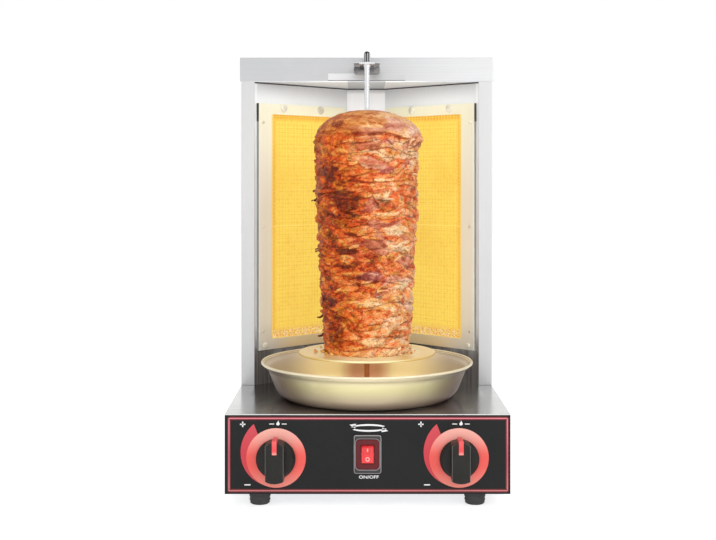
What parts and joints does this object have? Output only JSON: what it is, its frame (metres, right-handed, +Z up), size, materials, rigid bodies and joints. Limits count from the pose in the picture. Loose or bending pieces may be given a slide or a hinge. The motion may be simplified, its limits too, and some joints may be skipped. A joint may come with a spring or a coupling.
{
  "type": "doner kebab grill",
  "caption": "Table-top vertical broiler: a turning spit with a meat stack before gas burner walls set in a V, over a drip pan and a base with gas knobs and a rocker switch.",
  "frame": {"origin": "middle of the bounding box's footprint, on the table that the feet stand on", "axes": "+Z up, -Y out of the front panel, +X to the right as seen from the front"},
  "size_m": [0.3064, 0.3792, 0.492],
  "materials": {
    "stainless": "brushed, satin",
    "panel_black": "smooth black coating",
    "foot_rubber": "matte",
    "zinc": "zinc plated",
    "liner_steel": "bright, smooth",
    "screen_wire": "heat tinted wire",
    "tile": "porous, glowing",
    "box_iron": "as cast",
    "brass": "machined",
    "tube_metal": "drawn tube",
    "pipe_steel": "plated",
    "knob_black": "fine satin",
    "pointer_red": "satin",
    "switch_black": "satin",
    "bezel_red": "satin",
    "rocker_red": "gloss",
    "motor_paint": "satin",
    "shaft_steel": "turned",
    "spit_steel": "polished",
    "disc_steel": "satin",
    "meat": "roasted, moist",
    "pan_metal": "satin",
    "bolt_metal": "dark plated",
    "gland_nylon": "satin"
  },
  "bodies": {
    "machine": {"base_shell": "stainless", "base_bottom_plate": "zinc", "front_panel": "panel_black", "foot_front_left": "foot_rubber", "foot_front_right": "foot_rubber", "foot_back_left": "foot_rubber", "foot_back_right": "foot_rubber", "foot_screws": "zinc", "side_panel_left": "stainless", "side_panel_right": "stainless", "rear_cover": "stainless", "rear_cover_screws": "zinc", "hood": "stainless", "ceiling_plate": "liner_steel", "inner_liner": "liner_steel", "burner_cover_left": "liner_steel", "burner_cover_right": "liner_steel", "burner_cover_screws": "zinc", "body_screws": "zinc", "mesh_screen_left": "screen_wire", "mesh_screen_right": "screen_wire", "ceramic_tiles_left": "tile", "ceramic_tiles_right": "tile", "burner_box_left": "box_iron", "burner_box_right": "box_iron", "mixing_tube_left": "pipe_steel", "mixing_tube_right": "pipe_steel", "injector_left": "brass", "injector_right": "brass", "gas_tube_left": "tube_metal", "gas_tube_right": "tube_metal", "gas_manifold": "pipe_steel", "gas_inlet_fitting": "brass", "gas_valve_left": "brass", "gas_valve_right": "brass", "switch_frame": "switch_black", "switch_bezel": "bezel_red", "motor_bracket": "zinc", "motor_housing": "motor_paint", "top_bracket": "stainless", "spit_arm": "stainless", "clamp_nut": "zinc", "cable_gland": "gland_nylon"},
    "drive": {"output_shaft": "shaft_steel", "drive_socket": "shaft_steel"},
    "spit": {"spit_rod": "spit_steel", "disc_collar": "shaft_steel", "meat_disc": "disc_steel", "meat_stack": "meat"},
    "pan": {"drip_pan": "pan_metal"},
    "plug_left": {"valve_plug_left": "brass"},
    "plug_right": {"valve_plug_right": "brass"},
    "knob_left": {"knob_left": "knob_black", "knob_pointer_left": "pointer_red", "valve_stem_left": "shaft_steel"},
    "knob_right": {"knob_right": "knob_black", "knob_pointer_right": "pointer_red", "valve_stem_right": "shaft_steel"},
    "rocker": {"rocker": "rocker_red"},
    "wing_bolt": {"wing_bolt": "bolt_metal"}
  },
  "joints": [
    {"name": "spit_spin", "type": "hinge", "parent": "machine", "child": "drive", "pos_m": [0, -0.0566, 0.11], "axis": [0, 0, 1], "continuous": true},
    {"name": "spit_lift", "type": "slide", "parent": "drive", "child": "spit", "axis": [0, 0, 1], "range_m": [0, 0.014]},
    {"name": "pan_lift", "type": "slide", "parent": "machine", "child": "pan", "axis": [0, 0, 1], "range_m": [0, 0.013]},
    {"name": "valve_turn_left", "type": "hinge", "parent": "machine", "child": "plug_left", "pos_m": [-0.096, -0.1616, 0.054], "axis": [0, -1, 0], "range_deg": [0, 135]},
    {"name": "knob_push_left", "type": "slide", "parent": "plug_left", "child": "knob_left", "axis": [0, 1, 0], "range_m": [0, 0.003], "stiffness_N_per_m": 600},
    {"name": "valve_turn_right", "type": "hinge", "parent": "machine", "child": "plug_right", "pos_m": [0.096, -0.1616, 0.054], "axis": [0, -1, 0], "range_deg": [0, 135]},
    {"name": "knob_push_right", "type": "slide", "parent": "plug_right", "child": "knob_right", "axis": [0, 1, 0], "range_m": [0, 0.003], "stiffness_N_per_m": 600},
    {"name": "switch_rock", "type": "hinge", "parent": "machine", "child": "rocker", "pos_m": [0, -0.1616, 0.058], "axis": [-1, 0, 0], "range_deg": [0, 20]},
    {"name": "wing_turn", "type": "hinge", "parent": "machine", "child": "wing_bolt", "pos_m": [0, -0.0346, 0.472], "axis": [0, 0, 1], "range_deg": [0, 360]}
  ]
}
